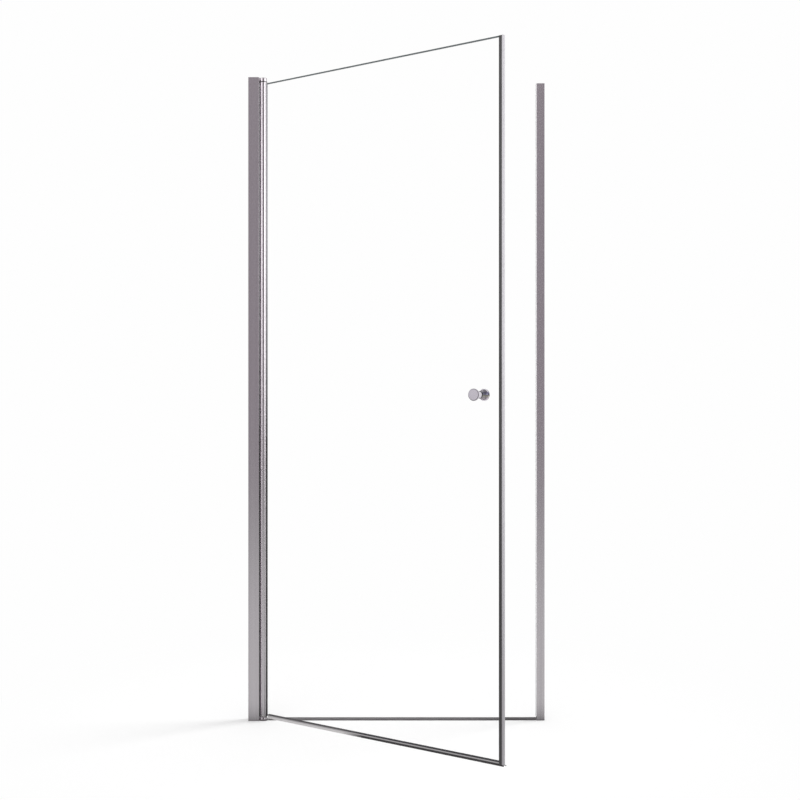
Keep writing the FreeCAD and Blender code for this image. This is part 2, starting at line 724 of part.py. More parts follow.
def drip_lip(web_low):
    # The section below a web: a thin lip in front and a fin that slopes into the shower.
    front = f"({glass_half} + seal_leg_wall)"
    return [(f"-{front}", web_low), (f"-{front} + 0.6", lip_height),
            (f"-{front} + 0.6 + lip_wall", lip_height),
            (f"-{front} + 1 + lip_wall", f"{web_low} - 0.1"), ("1", f"{web_low} - 0.1"),
            ("fin_reach - lip_wall", lip_height), ("fin_reach", lip_height),
            ("fin_reach", f"{lip_height} + lip_wall"), (front, web_low)]


def make_bottom_seal():
    # Two legs clip on the glass. Under the free edge seal only the web, lip and fin go on, and the fin's
    # tip runs past it beside the strike strip.
    body = new_body("bottom_seal")
    outer = f"({glass_half} + seal_leg_wall)"
    web_top = f"({profile_bottom} - seat_gap)"
    tail_top = f"({edge_seal_bottom} - seat_gap)"
    legs_top = f"({profile_bottom} + seal_grip)"
    legs_end = f"({glass_end} - clip_grip - seat_gap)"
    legs = new_sketch(body, "YZ_Plane", ("0", "0", "seal_start"))
    draw_outline(legs, drip_lip(f"({web_top} - seal_web)") +
                 [(outer, f"{legs_top} - 0.8"), (f"{outer} - 0.6", legs_top), (glass_half, legs_top),
                  (glass_half, web_top), (f"-{glass_half}", web_top), (f"-{glass_half}", legs_top),
                  (f"-{outer} + 0.6", legs_top), (f"-{outer}", f"{legs_top} - 0.8")])
    pad(body, legs, f"{legs_end} - seal_start")
    tail = new_sketch(body, "YZ_Plane", ("0", "0", f"{legs_end} - 1"))
    draw_outline(tail, drip_lip(f"({tail_top} - seal_web)") + [(outer, tail_top), (f"-{outer}", tail_top)])
    pad(body, tail, f"{seal_end} - {legs_end} + 1")
    tip = new_sketch(body, "YZ_Plane", ("0", "0", f"{seal_end} - 1"))
    draw_box(tip, "groove_width / 2 + strike_wall", "fin_reach", lip_height, f"{lip_height} + lip_wall")
    pad(body, tip, "1 + seal_gap + strike_proud - fin_clearance")
    hang_on_leaf(body)


make_hinge_profile()
make_gasket()
make_bush("top_bush", profile_top, -1)
make_bush("bottom_bush", profile_bottom, 1)
make_glass()
make_free_edge_seal()
make_bottom_seal()


# ---- leaf: knobs ----

def make_knob(label, side):
    # A turned knob that flares from a straight neck, bored for the stud. side is -1 outside and 1 in the shower.
    body = new_body(label)
    base = f"({side} * (glass_thickness / 2 + knob_washer_height))"
    sketch = new_sketch(body, "XY_Plane", (knob_u, base, "knob_height"))
    face = f"({side} * knob_length)"
    rim = f"({side} * (knob_length - knob_rim))"
    neck = f"({side} * knob_neck_length)"
    draw_outline(sketch, [("0", "0"), ("knob_neck", "0")] +
                 hollow_curve("knob_neck", neck, "knob_radius", rim, 2) +
                 [("knob_radius", face), ("0", face)])
    turn(body, sketch)
    hole = new_sketch(body, "XY_Plane", (knob_u, base, "knob_height"))
    draw_box(hole, "0", "stud_diameter / 2 + pin_fit", "0", f"{side} * stud_seat")
    bore(body, hole)
    hang_on_leaf(body)


def make_knob_fixings():
    stud = new_body("knob_stud")
    reach = "(glass_thickness / 2 + knob_washer_height + stud_seat - seat_gap)"
    sketch = new_sketch(stud, "XZ_Plane", ("0", "0", f"-{reach}"))
    draw_circle(sketch, knob_u, "knob_height", "stud_diameter / 2")
    pad(stud, sketch, f"2 * {reach}")
    hang_on_leaf(stud)
    washers = new_body("knob_washers")
    for low in ("glass_thickness / 2", "-glass_thickness / 2 - knob_washer_height"):
        sketch = new_sketch(washers, "XZ_Plane", ("0", "0", f"-({low}) - knob_washer_height"))
        draw_polygon(sketch, knob_u, "knob_height", "knob_neck", 32)
        draw_polygon(sketch, knob_u, "knob_height", "stud_diameter / 2 + 2 * seat_gap", 16)
        pad(washers, sketch, "knob_washer_height")
    hang_on_leaf(washers)
    sleeve = new_body("knob_sleeve")
    sketch = new_sketch(sleeve, "XZ_Plane", ("0", "0", "-glass_thickness / 2"))
    draw_polygon(sketch, knob_u, "knob_height", "knob_hole / 2 - seat_gap", 24)
    draw_polygon(sketch, knob_u, "knob_height", "stud_diameter / 2 + 2 * seat_gap", 16)
    pad(sleeve, sketch, "glass_thickness")
    hang_on_leaf(sleeve)


make_knob("knob_outer", -1)
make_knob("knob_inner", 1)
make_knob_fixings()

# ---- checks and export ----

doc.recompute()
broken = [item.Label for item in doc.Objects if "Invalid" in item.State or "Error" in item.State]
if broken:
    raise ValueError("failed objects: " + ", ".join(broken))
bodies = [item for item in doc.Objects if item.TypeId == "PartDesign::Body"]
for body in bodies:
    if body.Shape.isNull() or not body.Shape.isValid():
        raise ValueError(body.Label + ": no valid solid")
os.makedirs("parts", exist_ok=True)
for body in bodies:
    body.Shape.exportStep(f"parts/{body.Label}.step")
    box = body.Shape.BoundBox
    print(body.Label, len(body.Shape.Solids), "solids", round(body.Shape.Volume), "mm3",
          [round(value, 2) for value in (box.XMin, box.XMax, box.YMin, box.YMax, box.ZMin, box.ZMax)])
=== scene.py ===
import bmesh
import bpy
import json
import math
from mathutils import Matrix, Vector


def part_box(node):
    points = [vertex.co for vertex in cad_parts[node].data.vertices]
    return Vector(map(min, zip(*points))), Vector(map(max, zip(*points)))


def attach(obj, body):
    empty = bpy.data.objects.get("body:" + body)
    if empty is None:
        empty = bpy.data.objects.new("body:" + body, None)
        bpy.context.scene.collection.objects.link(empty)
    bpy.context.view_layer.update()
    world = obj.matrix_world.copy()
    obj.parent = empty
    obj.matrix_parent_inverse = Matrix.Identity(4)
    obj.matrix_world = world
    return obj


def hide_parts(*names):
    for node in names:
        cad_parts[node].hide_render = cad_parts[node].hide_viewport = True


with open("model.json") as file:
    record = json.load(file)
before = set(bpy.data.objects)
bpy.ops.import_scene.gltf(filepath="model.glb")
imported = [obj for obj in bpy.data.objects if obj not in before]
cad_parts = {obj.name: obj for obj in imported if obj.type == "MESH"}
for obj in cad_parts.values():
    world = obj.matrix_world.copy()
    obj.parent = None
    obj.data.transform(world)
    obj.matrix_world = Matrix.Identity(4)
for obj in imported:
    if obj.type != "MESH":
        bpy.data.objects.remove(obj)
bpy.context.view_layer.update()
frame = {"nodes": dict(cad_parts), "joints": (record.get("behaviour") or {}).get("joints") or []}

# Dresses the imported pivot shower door: finishes for every extrusion, seal and pane, turned knobs and pivots,
# screws, caps, the studio and the camera. Metres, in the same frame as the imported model.

print("frame loaded:", len(frame["nodes"]), "nodes")


def linear(hexColour):
    # sRGB hex to the linear colour that the shaders take
    channels = [int(hexColour[place:place + 2], 16) / 255 for place in (1, 3, 5)]
    return [c / 12.92 if c <= 0.04045 else ((c + 0.055) / 1.055) ** 2.4 for c in channels] + [1.0]


def addNode(tree, kind, settings=None, links=None):
    node = tree.nodes.new(kind)
    for key, value in (settings or {}).items():
        if isinstance(key, int) or key in node.inputs:
            node.inputs[key].default_value = value
        else:
            setattr(node, key, value)
    for key, source in (links or {}).items():
        tree.links.new(source, node.inputs[key])
    return node


def emptyTree(owner):
    # turns on the nodes of a material or world and clears the ready-made ones
    owner.use_nodes = True
    owner.node_tree.nodes.clear()
    return owner.node_tree


def fillRamp(ramp, colours):
    # colours are (place, linear colour), from low to high
    stops = ramp.color_ramp.elements
    for index, (place, colour) in enumerate(colours):
        stop = stops[index] if index < len(stops) else stops.new(place)
        stop.position, stop.color = place, colour


def startMaterial(name, settings):
    # a material with one Principled shader, whose even values are set on its own sockets
    material = bpy.data.materials.new(name)
    tree = emptyTree(material)
    shader = addNode(tree, "ShaderNodeBsdfPrincipled", settings)
    addNode(tree, "ShaderNodeOutputMaterial", links={"Surface": shader.outputs[0]})
    return material, tree, shader


noiseLow, noiseHigh = 0.3, 0.7  # where a noise mostly stays: stretched to the whole range
reliefStrength = 0.5


def grainPattern(tree, spacing, detail=2.0):
    # a pattern whose cells are spacing (x, y, z) millimetres apart, fixed to the piece
    place = addNode(tree, "ShaderNodeTexCoord").outputs["Object"]
    scaled = addNode(tree, "ShaderNodeMapping", {"Scale": [1000 / step for step in spacing]}, {"Vector": place})
    noise = addNode(tree, "ShaderNodeTexNoise", {"Scale": 1.0, "Detail": detail}, {"Vector": scaled.outputs[0]})
    return addNode(tree, "ShaderNodeMapRange", {"From Min": noiseLow, "From Max": noiseHigh},
                   {"Value": noise.outputs["Fac"]}).outputs["Result"]


def layGrain(tree, shader, look, tone, grain):
    # tone sways the colour between its two shades; grain sways the roughness and raises the relief
    colour = addNode(tree, "ShaderNodeMix", {"data_type": "RGBA", 6: linear(look["light"]),
                                             7: linear(look["dark"])}, {0: tone})
    rough = addNode(tree, "ShaderNodeMapRange", {"To Min": look["rough"][0], "To Max": look["rough"][1]},
                    {"Value": grain})
    relief = addNode(tree, "ShaderNodeBump", {"Strength": reliefStrength,
                                               "Distance": look["reliefMm"] / 1000}, {"Height": grain})
    tree.links.new(colour.outputs[2], shader.inputs["Base Color"])
    tree.links.new(rough.outputs["Result"], shader.inputs["Roughness"])
    tree.links.new(relief.outputs["Normal"], shader.inputs["Normal"])
    return colour


# real die lines are about 0.2 mm apart: they are drawn coarser, so that they show
anodisedLook = {"light": "#FAF5F9", "dark": "#EFE9EE", "bandMm": 7.0, "bandRunMm": 2600.0, "lineMm": 0.9,
                "lineRunMm": 900.0, "rough": (0.18, 0.26), "reliefMm": 0.01}
etchedLook = {"light": "#A4A0A3", "dark": "#999598", "bandMm": 5.0, "bandRunMm": 2600.0, "lineMm": 0.8,
              "lineRunMm": 900.0, "rough": (0.34, 0.46), "reliefMm": 0.02}


def makeAluminium(name, look, lengthwise):
    # soft bands and fine die lines along the extrusion: axis 2 is upright and axis 0 is along the tray
    material, tree, shader = startMaterial(name, {"Metallic": 1.0})
    bands, lines = [look["bandMm"]] * 3, [look["lineMm"]] * 3
    bands[lengthwise], lines[lengthwise] = look["bandRunMm"], look["lineRunMm"]
    sway = layGrain(tree, shader, look, grainPattern(tree, bands), grainPattern(tree, lines, 3.0))
    if "paintedSideShade" in look:  # painted shade: right of sideAt and in front of sideFront it darkens from one height to the other
        coords = addNode(tree, "ShaderNodeTexCoord").outputs
        place = addNode(tree, "ShaderNodeSeparateXYZ", links={0: coords["Object"]}).outputs
        inFront = addNode(tree, "ShaderNodeMath", {"operation": "LESS_THAN", 1: look["sideFront"]}, {0: place["Y"]})
        onSide = addNode(tree, "ShaderNodeMath", {"operation": "GREATER_THAN", 1: look["sideAt"]}, {0: place["X"]})
        low = addNode(tree, "ShaderNodeMapRange", {"From Min": look["sideFrom"], "From Max": look["sideTo"]},
                      {"Value": place["Z"]})
        zone = addNode(tree, "ShaderNodeMath", {"operation": "MULTIPLY"},
                       {0: inFront.outputs[0], 1: onSide.outputs[0]})
        share = addNode(tree, "ShaderNodeMath", {"operation": "MULTIPLY"}, {0: zone.outputs[0], 1: low.outputs[0]})
        dark = addNode(tree, "ShaderNodeMix", {"data_type": "RGBA", 7: linear(look["paintedSideShade"])},
                       {0: share.outputs[0], 6: sway.outputs[2]})
        tree.links.new(dark.outputs[2], shader.inputs["Base Color"])
    return material


chromeLook = {"light": "#D6D1D9", "dark": "#CBC6CF", "smudgeMm": 14.0, "peelMm": 1.6, "rough": (0.05, 0.1),
              "reliefMm": 0.008}


def makeChrome(name, look):
    # wiped smudges in the colour and a faint orange peel in the mirror
    material, tree, shader = startMaterial(name, {"Metallic": 1.0})
    sway = layGrain(tree, shader, look, grainPattern(tree, [look["smudgeMm"]] * 3, 3.0),
                    grainPattern(tree, [look["peelMm"]] * 3))
    if "bands" in look:  # a painted reflection of the dim room beside the door, in bands by height on the knob
        place = addNode(tree, "ShaderNodeTexCoord").outputs["Object"]
        height = addNode(tree, "ShaderNodeSeparateXYZ", links={0: place}).outputs["Y"]
        size = addNode(tree, "ShaderNodeMapRange", {"From Min": look["bandsFrom"], "From Max": look["bandsTo"]},
                       {"Value": height})
        ramp = addNode(tree, "ShaderNodeValToRGB", links={"Fac": size.outputs[0]})
        fillRamp(ramp, [(level, linear(tint)) for level, tint in look["bands"]])
        both = addNode(tree, "ShaderNodeMix", {"data_type": "RGBA", "blend_type": "MULTIPLY", 0: 1.0},
                       {6: sway.outputs[2], 7: ramp.outputs[0]})
        tree.links.new(both.outputs[2], shader.inputs["Base Color"])
    if "paintedDimReflection" in look:  # painted reflection: the rim, the neck's upper and lower edge and, less so, the face are darkened as the mirror of the dim room
        place = addNode(tree, "ShaderNodeTexCoord").outputs["Object"]
        flat = addNode(tree, "ShaderNodeVectorMath", {"operation": "MULTIPLY", 1: (1, 1, 0)}, {0: place})
        radius = addNode(tree, "ShaderNodeVectorMath", {"operation": "LENGTH"}, {0: flat.outputs[0]})
        parts = addNode(tree, "ShaderNodeSeparateXYZ", links={0: place}).outputs
        rise = addNode(tree, "ShaderNodeMath", {"operation": "ABSOLUTE"}, {0: parts["Y"]})
        onNeck = addNode(tree, "ShaderNodeMath", {"operation": "LESS_THAN", 1: look["neckEnd"]}, {0: parts["Z"]})
        ring = addNode(tree, "ShaderNodeMapRange", {"From Min": look["ringFrom"], "From Max": look["ringTo"],
                                                    "To Min": look["faceShare"]},
                       {"Value": radius.outputs["Value"]})
        edge = addNode(tree, "ShaderNodeMapRange", {"From Min": look["neckFrom"], "From Max": look["neckTo"]},
                       {"Value": rise.outputs[0]})
        neck = addNode(tree, "ShaderNodeMath", {"operation": "MULTIPLY"},
                       {0: onNeck.outputs[0], 1: edge.outputs[0]})
        onRim = addNode(tree, "ShaderNodeMath", {"operation": "GREATER_THAN", 1: look["rimStart"]}, {0: parts["Z"]})
        rim = addNode(tree, "ShaderNodeMath", {"operation": "MULTIPLY"}, {0: onRim.outputs[0], 1: ring.outputs[0]})
        share = addNode(tree, "ShaderNodeMath", {"operation": "MAXIMUM"}, {0: neck.outputs[0], 1: rim.outputs[0]})
        dark = addNode(tree, "ShaderNodeMix", {"data_type": "RGBA", 7: linear(look["paintedDimReflection"])},
                       {0: share.outputs[0], 6: sway.outputs[2]})
        tree.links.new(dark.outputs[2], shader.inputs["Base Color"])
    return material


# the rim's grit is about 0.1 mm: it is drawn coarser, so that it shows
glassLook = {"face": "#FFFFFF", "light": "#565F60", "dark": "#434B4D", "grindMm": 0.8, "rough": (0.2, 0.32),
             "reliefMm": 0.01, "bandMm": 3.0, "bandFadeMm": 0.2, "bandWeight": 0.9, "faceTurn": 0.9}


def makeGlass(name, look, faceNormal, top):
    # clear faces, and a dark grey green rim that also shows through the faces as a thin line along the top
    material, tree, face = startMaterial(name, {"Base Color": linear(look["face"]), "Roughness": 0.0, "IOR": 1.2,
                                                "Transmission Weight": 1.0})
    edge = addNode(tree, "ShaderNodeBsdfPrincipled", {"IOR": 1.5})
    grind = grainPattern(tree, [look["grindMm"]] * 3)
    layGrain(tree, edge, look, grind, grind)
    coords = addNode(tree, "ShaderNodeTexCoord").outputs
    dot = addNode(tree, "ShaderNodeVectorMath", {"operation": "DOT_PRODUCT", 1: faceNormal}, {0: coords["Normal"]})
    size = addNode(tree, "ShaderNodeMath", {"operation": "ABSOLUTE"}, {0: dot.outputs["Value"]})
    onFace = addNode(tree, "ShaderNodeMath", {"operation": "GREATER_THAN", 1: look["faceTurn"]},
                     {0: size.outputs[0]})
    height = addNode(tree, "ShaderNodeSeparateXYZ", links={0: coords["Object"]}).outputs["Z"]
    low, fade = top - look["bandMm"] / 1000, look["bandFadeMm"] / 1000
    clear = addNode(tree, "ShaderNodeMapRange", {"From Min": low - fade, "From Max": low + fade, "To Min": 1.0,
                                                 "To Max": 1.0 - look["bandWeight"]}, {"Value": height})
    weight = addNode(tree, "ShaderNodeMath", {"operation": "MULTIPLY"}, {0: onFace.outputs[0], 1: clear.outputs[0]})
    both = addNode(tree, "ShaderNodeMixShader", links={0: weight.outputs[0], 1: edge.outputs[0],
                                                       2: face.outputs[0]})
    output = [node for node in tree.nodes if node.type == "OUTPUT_MATERIAL"][0]
    tree.links.new(both.outputs[0], output.inputs["Surface"])
    return material


def makeGrained(name, settings, look):
    # a plastic, rubber, foam or steel with a fine grain: two close tones, an uneven gloss and a slight relief
    material, tree, shader = startMaterial(name, settings)
    grain = grainPattern(tree, look["spacingMm"], 3.0)
    colour = layGrain(tree, shader, look, grain, grain)
    if "other" in look:  # a painted reflection: a second tint, reached between two heights
        place = addNode(tree, "ShaderNodeTexCoord").outputs["Object"]
        height = addNode(tree, "ShaderNodeSeparateXYZ", links={0: place}).outputs["Z"]
        start, end = look["between"]
        share = addNode(tree, "ShaderNodeMapRange", {"From Min": start, "From Max": end}, {"Value": height})
        tint = addNode(tree, "ShaderNodeMix", {"data_type": "RGBA", 7: linear(look["other"])},
                       {0: share.outputs[0], 6: colour.outputs[2]})
        tree.links.new(tint.outputs[2], shader.inputs["Base Color"])
    return material


leafOpening = math.radians(-frame["joints"][0]["range_deg"][0])  # how far the leaf stands open at rest
pivot = Vector(frame["joints"][0]["pos_m"])
leafMatrix = Matrix.Translation(pivot) @ Matrix.Rotation(-leafOpening, 4, "Z")
leafNormal = leafMatrix.to_3x3() @ Vector((0, 1, 0))
leafAlong = leafMatrix.to_3x3() @ Vector((1, 0, 0))

dripSealLook = {
    "light": "#2C2A2B", "dark": "#363335", "spacingMm": (60.0, 60.0, 1.0), "rough": (0.22, 0.34), "reliefMm": 0.02,
    "outerLines": ("#2C2A2B", "#A9A6A8", "#26242A"),  # lip, web and rim of the seal away from the hinge
    "innerLines": ("#D0CDCE", "#ACA9AB", "#4A4749"),  # the same next to the hinge, in lighter tones
    "webLow": 0.0144, "webHigh": 0.0175, "fade": 0.0005,  # heights above the tray, and how softly a line ends
    "changeStart": 0.30, "changeEnd": 0.37, "sway": 0.06,  # distances from the pivot; the grain's share
}


def makeDripSeal(name, look):
    # a dark lip, a milky web and a dark rim, in one strip
    material, tree, shader = startMaterial(name, {"IOR": 1.53, "Coat Weight": 0.15, "Coat Roughness": 0.2})
    grain = grainPattern(tree, look["spacingMm"], 3.0)
    sway = layGrain(tree, shader, look, grain, grain)
    place = addNode(tree, "ShaderNodeTexCoord").outputs["Object"]
    height = addNode(tree, "ShaderNodeSeparateXYZ", links={0: place}).outputs["Z"]
    reach = addNode(tree, "ShaderNodeVectorMath", {"operation": "DOT_PRODUCT", 1: leafAlong}, {0: place})
    start = pivot.dot(leafAlong)
    change = addNode(tree, "ShaderNodeMapRange", {"From Min": start + look["changeStart"],
                                                  "From Max": start + look["changeEnd"]},
                     {"Value": reach.outputs[1]})
    zones = [addNode(tree, "ShaderNodeMapRange", {"From Min": level - look["fade"], "From Max": level + look["fade"]},
                     {"Value": height}) for level in (look["webLow"], look["webHigh"])]
    parts = []
    for lip, web, rim in (look["innerLines"], look["outerLines"]):
        low = addNode(tree, "ShaderNodeMix", {"data_type": "RGBA", 6: linear(lip), 7: linear(web)},
                      {0: zones[0].outputs[0]})
        parts.append(addNode(tree, "ShaderNodeMix", {"data_type": "RGBA", 7: linear(rim)},
                             {0: zones[1].outputs[0], 6: low.outputs[2]}))
    whole = addNode(tree, "ShaderNodeMix", {"data_type": "RGBA"},
                    {0: change.outputs[0], 6: parts[0].outputs[2], 7: parts[1].outputs[2]})
    swayed = addNode(tree, "ShaderNodeMix", {"data_type": "RGBA", 0: look["sway"]},
                     {6: whole.outputs[2], 7: sway.outputs[2]})
    tree.links.new(swayed.outputs[2], shader.inputs["Base Color"])
    return material


# Aluminium, extruded and bright anodised: upright faces gleam softly and round ones catch white bands
anodised = makeAluminium("anodisedAluminiumExtruded", anodisedLook, 2)
# The wide post is the same extrusion: its side, in the narrow gap beside the tube, has painted shade that darkens
# towards the foot
postFace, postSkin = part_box("hinge_post")[1].x, 0.0003
postAnodised = makeAluminium("anodisedAluminiumPost", {
    **anodisedLook, "paintedSideShade": "#100F10", "sideAt": postFace - postSkin, "sideFront": -0.0118, "sideFrom": 1.35,
    "sideTo": 0.8}, 2)
# Zinc, die cast and satin nickel plated to match the posts, a shade greyer than they are
footFinish = makeAluminium("satinPlatedZincCast", {**anodisedLook, "light": "#C6C1C5", "dark": "#BAB5B9"}, 2)
# Aluminium, extruded and deep etched before anodising: the same metal, greyer and duller
etched = makeAluminium("etchedAluminiumExtruded", etchedLook, 0)
# Brass, turned or cast, polished and chrome plated: a mirror, a shade darker than the room that it shows
chrome = makeChrome("chromePlatedBrassPolished", chromeLook)
# The outer knob has the same plating, with a painted reflection of a dim room: its face is greyer, and a darker line
# follows its rim and its neck's edges
knobChrome = makeChrome("chromePlatedBrassKnob", {
    **chromeLook, "paintedDimReflection": "#858188", "faceShare": 0.78, "ringFrom": 0.0135, "ringTo": 0.0145, "rimStart": 0.026,
    "neckEnd": 0.018, "neckFrom": 0.0068, "neckTo": 0.0084})
# The inner knob, behind the glass, has a painted reflection of a dim room in bands: bluish and dark above its middle
innerChrome = makeChrome("chromePlatedBrassInnerKnob", {
    **chromeLook, "bandsFrom": 0.016, "bandsTo": -0.016, "bands": (
        (0.0, "#FFFFFF"), (0.2, "#F4ECF2"), (0.36, "#F0F0E2"), (0.44, "#D2D2B8"),
        (0.5, "#8C8E9E"), (0.66, "#8E90A8"), (0.74, "#D8D8EC"), (0.8, "#FFFFFF"))})
# Float glass, toughened, its rim ground and polished: clear faces, nearly no sheen and a dark rim
glass = makeGlass("toughenedGlassPolished", glassLook, leafNormal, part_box("door_glass")[1].z)
# Soft PVC, extruded in clear and smoke tints together
dripSealPvc = makeDripSeal("dripSealPvcExtruded", dripSealLook)
# Soft PVC, co-extruded and smoke tinted: half clear, so that it greys what lies behind it
smokyPvc = makeGrained("smokyPvcExtruded", {"IOR": 1.53, "Transmission Weight": 0.15}, {
    "light": "#454344", "dark": "#302E2F", "spacingMm": (2.0, 2.0, 300.0), "rough": (0.3, 0.42), "reliefMm": 0.02})
# Magnet strip, ferrite powder in an extruded PVC sleeve: a light grey, with a painted reflection that makes it
# lighter towards its top
magnetGrey = makeGrained("ferriteMagnetExtruded", {"IOR": 1.53, "Coat Weight": 0.4, "Coat Roughness": 0.15}, {
    "light": "#9F9CA0", "dark": "#959296", "spacingMm": (1.5, 1.5, 200.0), "rough": (0.4, 0.55), "reliefMm": 0.02,
    "other": "#D2CFD4", "between": (0.1, 1.1)})
# Magnet strip, the same in a white sleeve: a flat white
magnetWhite = makeGrained("sleevedMagnetExtruded", {"IOR": 1.53}, {
    "light": "#F8F8F8", "dark": "#F0F0F0", "spacingMm": (1.5, 1.5, 200.0), "rough": (0.4, 0.55), "reliefMm": 0.02})
# White soft PVC, extruded: nearly as white as the wall behind it, with a faint wave from the die
whitePvc = makeGrained("whitePvcExtruded", {"IOR": 1.53}, {
    "light": "#FEFEFE", "dark": "#F8F8F9", "spacingMm": (2.0, 2.0, 250.0), "rough": (0.3, 0.42), "reliefMm": 0.01})
# EPDM rubber, extruded: black, wiped smooth by the die, with a painted sheen along it that greys it towards its top
rubber = makeGrained("epdmRubberExtruded", {"IOR": 1.5, "Coat Weight": 0.3, "Coat Roughness": 0.2}, {
    "light": "#1C1B1D", "dark": "#121113", "spacingMm": (1.2, 1.2, 150.0), "rough": (0.22, 0.34), "reliefMm": 0.01,
    "other": "#A5A3A8", "between": (0.85, 1.5)})
# Acetal, moulded: milky white and slick
acetal = makeGrained("acetalMoulded", {"IOR": 1.48}, {
    "light": "#F2F1EE", "dark": "#E8E7E2", "spacingMm": (3.0, 3.0, 3.0), "rough": (0.3, 0.4), "reliefMm": 0.01})
# ABS, moulded in a spark eroded tool: a matt grey with a fine even grain
mouldedAbs = makeGrained("absMoulded", {"IOR": 1.54}, {
    "light": "#98969A", "dark": "#89878B", "spacingMm": (0.7, 0.7, 0.7), "rough": (0.45, 0.6), "reliefMm": 0.04})
# Acrylic foam tape, cast: pale and full of small cells
foam = makeGrained("acrylicFoamCast", {"IOR": 1.48}, {
    "light": "#E4E3DE", "dark": "#D2D1CB", "spacingMm": (0.5, 0.5, 0.5), "rough": (0.7, 0.9), "reliefMm": 0.1})
# Stainless steel, cold headed and passivated: a bright grey with fine drawn lines round the form
steel = makeGrained("stainlessSteelColdHeaded", {"Metallic": 1.0}, {
    "light": "#CDCBC8", "dark": "#B9B7B4", "spacingMm": (0.4, 6.0, 0.4), "rough": (0.22, 0.38), "reliefMm": 0.01})

nodeFinishes = {
    "hinge_wall_channel": anodised, "hinge_post": postAnodised, "closing_wall_channel": anodised,
    "closing_post": anodised, "door_hinge_profile": anodised,
    "hinge_post_cap": mouldedAbs, "closing_post_cap": mouldedAbs,
    "top_pivot_pin": steel, "bottom_pivot_pin": steel, "knob_stud": steel,
    "thrust_washer": acetal, "top_bush": acetal, "bottom_bush": acetal, "knob_sleeve": acetal,
    "strike_seal": whitePvc, "strike_magnet": magnetWhite, "free_edge_magnet": magnetGrey,
    "free_edge_clip": smokyPvc, "bottom_seal": dripSealPvc, "glazing_gasket": rubber, "hinge_post_wiper": rubber,
    "door_glass": glass, "sill_tape": foam,
}
for node, finish in nodeFinishes.items():
    for place in frame["nodes"][node].material_slots:
        place.material = finish
print("finishes made:", len(bpy.data.materials))

for node in ("door_glass", "bottom_seal", "free_edge_clip", "free_edge_magnet"):
    frame["nodes"][node].visible_diffuse = False  # the pane and its thin trim leave the room's soft light alone
    frame["nodes"][node].visible_shadow = False  # and throw no shadow on the floor


def roundedOutline(corners, steps):
    # corners are (x, y, radius); each one with a radius, between the first and the last, becomes an arc
    points = []
    for index, (x, y, radius) in enumerate(corners):
        corner = Vector((x, y))
        if radius <= 0 or index in (0, len(corners) - 1):
            points.append(corner)
            continue
        before = (Vector(corners[index - 1][:2]) - corner).normalized()
        after = (Vector(corners[index + 1][:2]) - corner).normalized()
        half = before.angle(after) / 2
        centre = corner + (before + after).normalized() * radius / math.sin(half)
        start = corner + before * radius / math.tan(half) - centre
        end = corner + after * radius / math.tan(half) - centre
        turn = start.angle_signed(end)
        for step in range(steps + 1):
            points.append(centre + Matrix.Rotation(-turn * step / steps, 2) @ start)
    return points


crispDegrees = 32  # an edge that turns further than this stays crisp


def finishPiece(name, made, material, body, node, matrix=None):
    # turns a mesh in the making into a piece that rides on a body and stands for a node
    mesh = bpy.data.meshes.new(name)
    made.normal_update()
    made.to_mesh(mesh)
    made.free()
    mesh.materials.append(material)
    for face in mesh.polygons:
        face.use_smooth = True
    mesh.set_sharp_from_angle(angle=math.radians(crispDegrees))
    piece = bpy.data.objects.new(name, mesh)
    bpy.context.scene.collection.objects.link(piece)
    if matrix is not None:
        piece.matrix_world = matrix
    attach(piece, body)
    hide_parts(node)


def hollowFlare(narrow, wide, start, end, steps):
    # (radius, height) points of a hollow quarter curve, from just after the narrow end to the wide one
    turns = [math.pi / 2 * step / steps for step in range(1, steps + 1)]
    return [(narrow + (wide - narrow) * (1 - math.cos(turn)), start + (end - start) * math.sin(turn))
            for turn in turns]


def turnedMesh(outline, steps, made=None, shift=Matrix.Identity(4)):
    # spins (radius, height) points about Z; a point with no radius is a single corner on the axis
    made = made or bmesh.new()
    rings = []
    for radius, height in outline:
        if radius < 1e-7:
            rings.append([made.verts.new(shift @ Vector((0, 0, height)))])
        else:
            turns = [2 * math.pi * step / steps for step in range(steps)]
            rings.append([made.verts.new(shift @ Vector((radius * math.cos(turn), radius * math.sin(turn), height)))
                          for turn in turns])
    for lower, upper in zip(rings, rings[1:]):
        for step in range(steps):
            following = (step + 1) % steps
            corners = [lower[step % len(lower)], lower[following % len(lower)],
                       upper[following % len(upper)], upper[step % len(upper)]]
            unique = list(dict.fromkeys(corners))
            if len(unique) > 2:
                made.faces.new(unique)
    return made


def boxMesh(low, high, made, soften=0.0):
    # adds a box to the mesh, with its edges softened
    before = set(made.verts)
    bmesh.ops.create_cube(made, size=1.0)
    corners = [vertex for vertex in made.verts if vertex not in before]
    low, high = Vector(low), Vector(high)
    for vertex in corners:
        vertex.co = Vector([(low[axis] + high[axis]) / 2 + vertex.co[axis] * (high[axis] - low[axis])
                            for axis in range(3)])
    if soften:
        edges = [edge for edge in made.edges if edge.verts[0] in corners]
        bmesh.ops.bevel(made, geom=edges, offset=soften, segments=2, affect="EDGES", profile=0.5)


knob = {
    "along": 0.7508, "height": 0.986,  # its middle, from the pivot and above the tray
    "base": 0.004, "length": 0.027, "neck": 0.0104, "neckLength": 0.006, "neckBevel": 0.0003,
    "radius": 0.0162, "rim": 0.0036, "rimRound": 0.0012, "dome": 0.00004, "domeShare": 0.9,
    "washer": 0.001, "washerBevel": 0.0002, "stud": 0.0032, "turns": 96,
}


def onGlass(side, away):
    # stands a turned piece on the leaf with its foot this far from the middle of the glass: side -1 is outside
    centre = Vector((knob["along"], side * away, knob["height"]))
    return leafMatrix @ (Matrix.Translation(centre) @ Matrix.Rotation(math.radians(-90 * side), 4, "X"))


